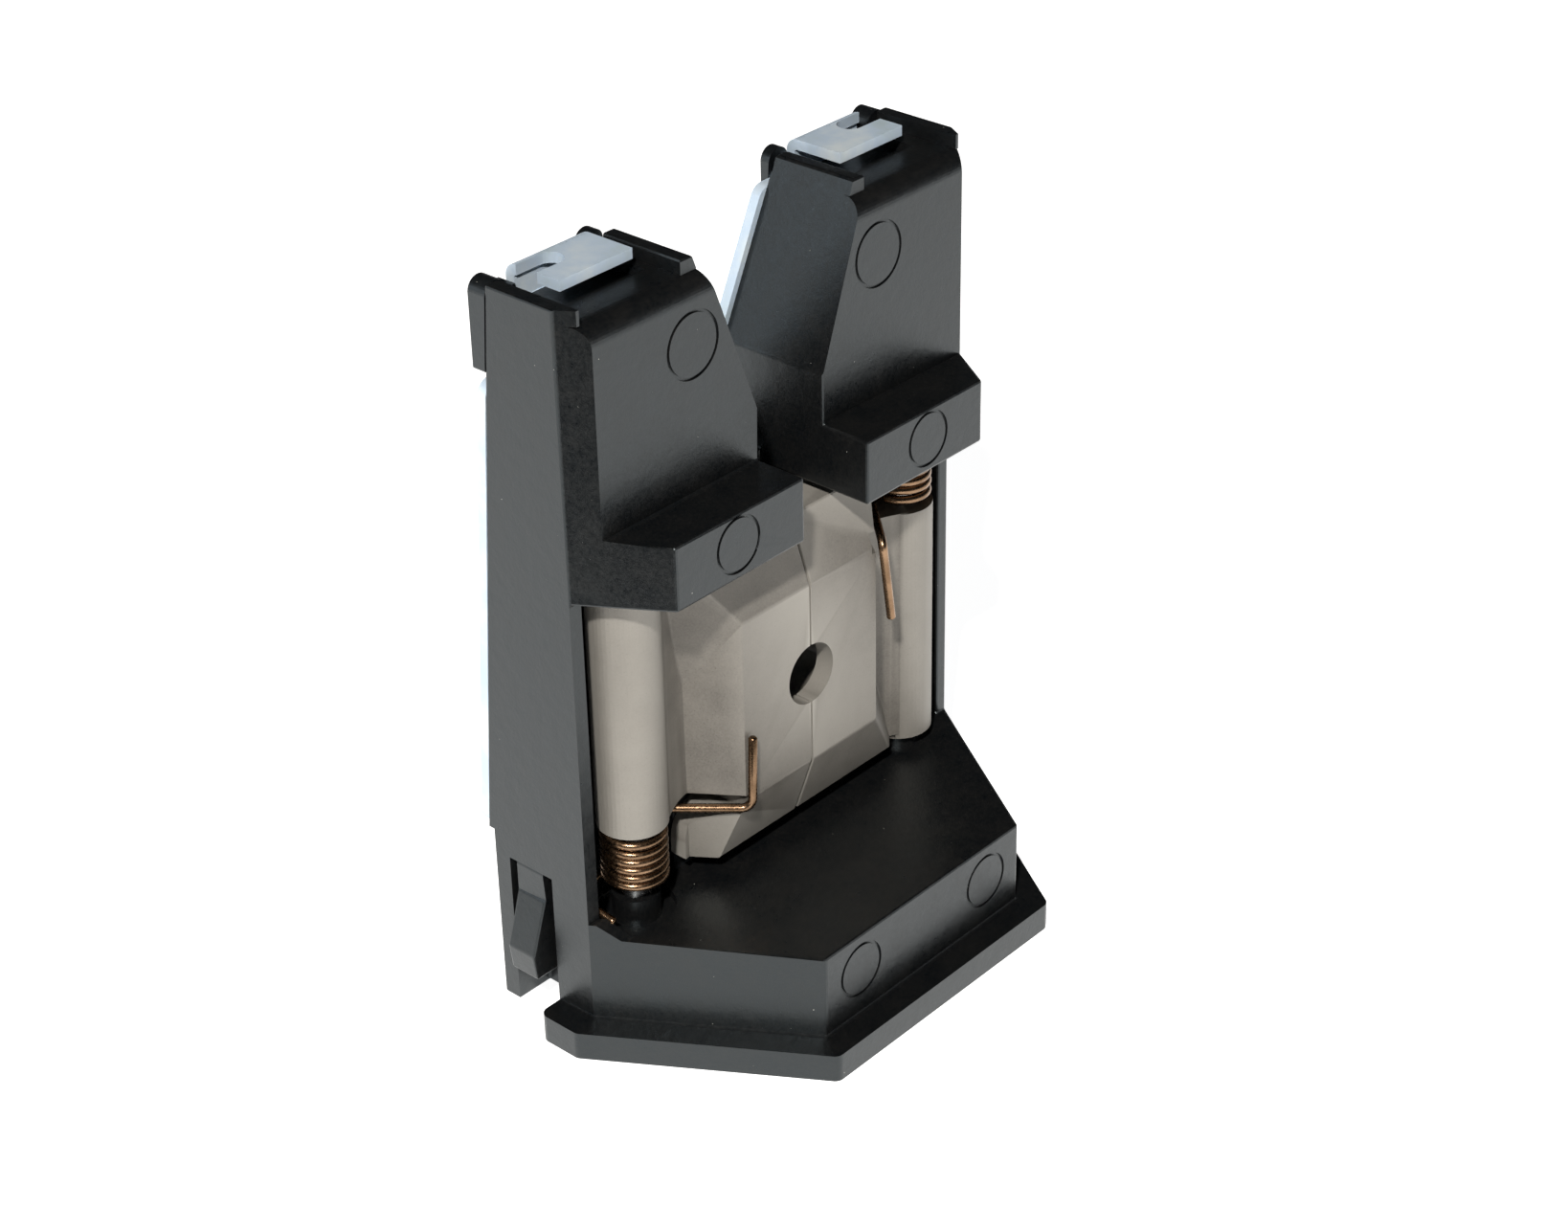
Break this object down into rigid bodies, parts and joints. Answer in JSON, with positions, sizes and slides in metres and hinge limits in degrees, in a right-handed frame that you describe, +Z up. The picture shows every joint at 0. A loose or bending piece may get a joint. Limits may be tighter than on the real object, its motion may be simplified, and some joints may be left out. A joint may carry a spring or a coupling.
{
  "type": "spring-loaded twin-jaw gate module",
  "caption": "Moulded plug-in module with two upright arms and two spring-closed hinged jaws that meet round a guide hole, backed by a hooked steel plate.",
  "frame": {"origin": "middle of the footprint, on the underside of the flange", "axes": "+X to the module's right seen from the front, +Y from the jaws' front to the back plate, +Z up from the flange to the arms"},
  "size_m": [0.04, 0.0242, 0.0526],
  "materials": {
    "housing_plastic": "semi-gloss glass-filled moulding",
    "cap_plastic": "semi-gloss",
    "zinc_steel": "bright zinc plate",
    "sintered_steel": "fine matt sintered",
    "pin_steel": "ground",
    "spring_wire": "bronze-tinted spring wire"
  },
  "bodies": {
    "frame": {"housing": "housing_plastic", "back_plate": "zinc_steel", "rear_cap_left": "cap_plastic", "rear_cap_right": "cap_plastic", "hinge_pin_left": "pin_steel", "hinge_pin_right": "pin_steel", "spring_coil_left": "spring_wire", "spring_coil_right": "spring_wire"},
    "left_jaw": {"jaw_left": "sintered_steel", "spring_leg_left": "spring_wire"},
    "right_jaw": {"jaw_right": "sintered_steel", "spring_leg_right": "spring_wire"},
    "left_latch": {"latch_left": "housing_plastic"},
    "right_latch": {"latch_right": "housing_plastic"}
  },
  "joints": [
    {"name": "jaw_left_swing", "type": "hinge", "parent": "frame", "child": "left_jaw", "pos_m": [-0.0132, 0.00311, 0.02088], "axis": [0, 0, -1], "range_deg": [0, 60], "stiffness_Nm_per_rad": 0.01, "springref_deg": -45.84},
    {"name": "jaw_right_swing", "type": "hinge", "parent": "frame", "child": "right_jaw", "pos_m": [0.0132, 0.00311, 0.02088], "axis": [0, 0, 1], "range_deg": [0, 60], "stiffness_Nm_per_rad": 0.01, "springref_deg": -45.84},
    {"name": "latch_left_flex", "type": "hinge", "parent": "frame", "child": "left_latch", "pos_m": [-0.0175, 0.00783, 0.0112], "axis": [0, -1, 0], "range_deg": [0, 13], "stiffness_Nm_per_rad": 0.05},
    {"name": "latch_right_flex", "type": "hinge", "parent": "frame", "child": "right_latch", "pos_m": [0.0175, 0.00783, 0.0112], "axis": [0, 1, 0], "range_deg": [0, 13], "stiffness_Nm_per_rad": 0.05}
  ]
}
